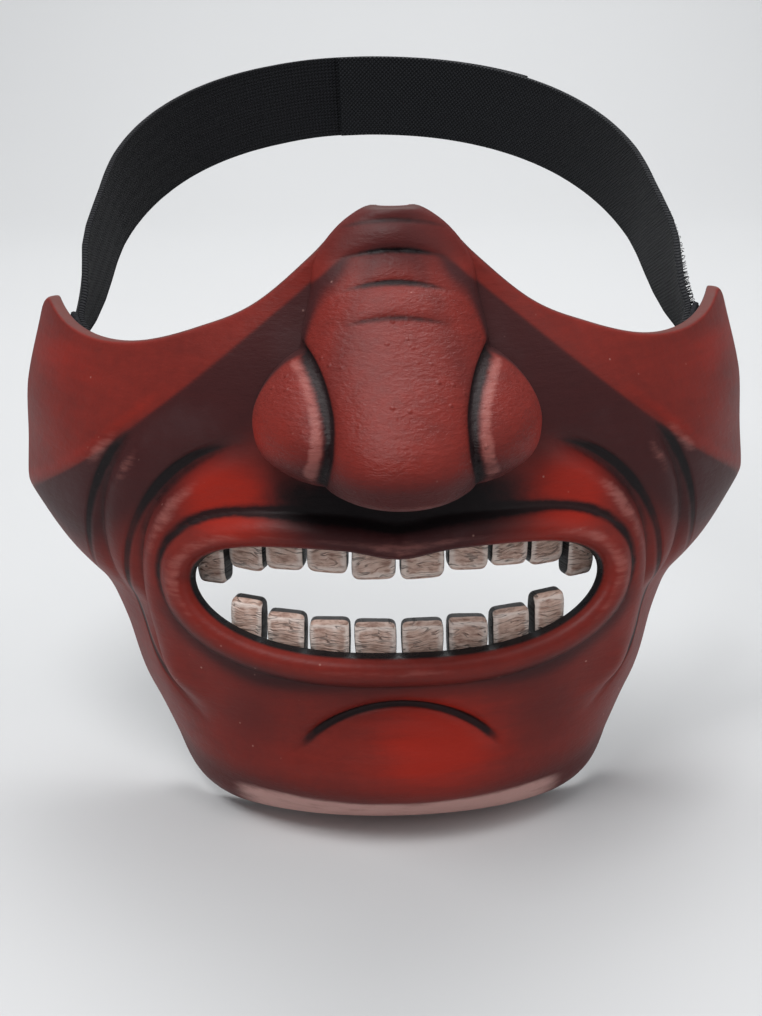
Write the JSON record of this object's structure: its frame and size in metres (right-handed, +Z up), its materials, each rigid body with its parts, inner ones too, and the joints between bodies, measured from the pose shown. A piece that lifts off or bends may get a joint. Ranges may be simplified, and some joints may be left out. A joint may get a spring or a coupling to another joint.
{
  "type": "samurai face guard",
  "caption": "Half mask for the nose, cheeks, mouth and chin with a grimace, a row of teeth behind each lip, and a flat band round the head.",
  "frame": {"origin": "inside of the nose bridge, where the mask sits on the wearer's nose", "axes": "+Z up along the face, -Y the way the mask looks, +X to the right of someone who looks at it"},
  "size_m": [0.1862, 0.2386, 0.1647],
  "materials": {
    "painted_resin": "dark red paint with a black wash in the creases, satin",
    "teeth": "brown wash over ivory, brushed, satin",
    "webbing": "woven black nylon band",
    "hook_tape": "woven black nylon band with small hooks",
    "patch": "black stick-on patch"
  },
  "bodies": {
    "root": {"face_shell": "painted_resin", "tooth_upper_1": "teeth", "tooth_upper_2": "teeth", "tooth_upper_3": "teeth", "tooth_upper_4": "teeth", "tooth_upper_5": "teeth", "tooth_upper_6": "teeth", "tooth_upper_7": "teeth", "tooth_upper_8": "teeth", "tooth_upper_9": "teeth", "tooth_upper_10": "teeth", "tooth_lower_1": "teeth", "tooth_lower_2": "teeth", "tooth_lower_3": "teeth", "tooth_lower_4": "teeth", "tooth_lower_5": "teeth", "tooth_lower_6": "teeth", "tooth_lower_7": "teeth", "tooth_lower_8": "teeth", "strap_loop": "webbing", "strap_hook": "hook_tape", "strap_patch_left": "patch", "strap_patch_right": "patch"}
  },
  "joints": []
}
